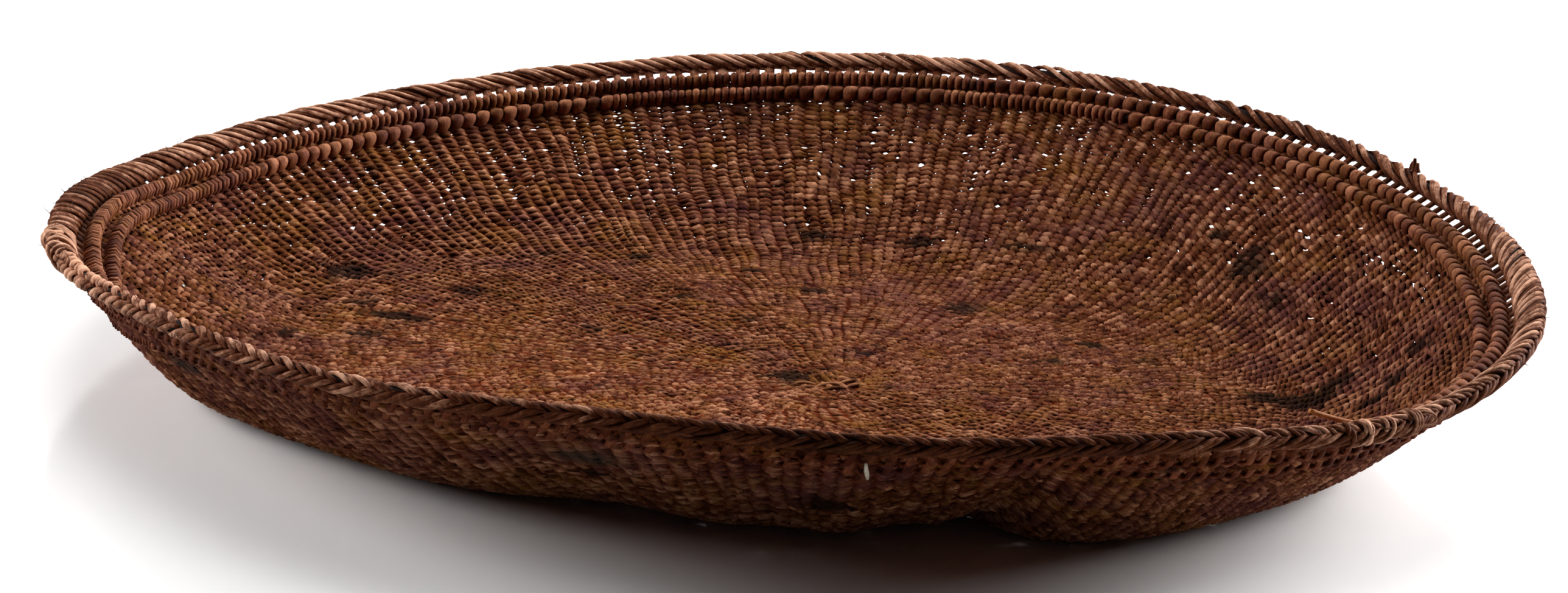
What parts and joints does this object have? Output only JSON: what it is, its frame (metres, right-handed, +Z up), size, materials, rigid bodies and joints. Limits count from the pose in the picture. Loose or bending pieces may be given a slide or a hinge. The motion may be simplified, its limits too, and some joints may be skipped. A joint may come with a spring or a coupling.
{
  "type": "twined basket tray",
  "caption": "Large shallow twined basket tray with a plaited rim, a band of open warps and lashed hoops, for carrying, drying or winnowing.",
  "frame": {"origin": "on the surface the tray stands on, under the middle of the rim's outline", "axes": "+Z up out of the bowl, +X towards the rim's higher right-hand side as pictured, +Y away from the camera"},
  "size_m": [0.552, 0.5595, 0.0746],
  "materials": {
    "start_knot_fibre": "dry worn plant fibre",
    "twined_weft_fibre": "dry worn plant fibre, fine twined ribs",
    "hoop_wrapping": "smooth wrapped strand, slight sheen",
    "lashing_strand": "dry twisted strand",
    "bare_warp_fibre": "dry round shoots, bark left on in places",
    "plaited_warp_ends": "hand-polished plaited strand",
    "pale_mending_thread": "matt cotton-like thread",
    "splice_binding": "split strand, slight sheen"
  },
  "bodies": {
    "root": {"start_knot": "start_knot_fibre", "floor_weft_inner": "twined_weft_fibre", "floor_weft_outer": "twined_weft_fibre", "wall_weft_lower": "twined_weft_fibre", "wall_weft_upper": "twined_weft_fibre", "lower_hoop": "hoop_wrapping", "upper_hoop": "hoop_wrapping", "lower_lashing": "lashing_strand", "upper_lashing": "lashing_strand", "bare_warps": "bare_warp_fibre", "rim_plait": "plaited_warp_ends", "mend_stitch": "pale_mending_thread", "rim_tie": "splice_binding", "splice_end": "splice_binding", "stray_tip": "plaited_warp_ends"}
  },
  "joints": []
}
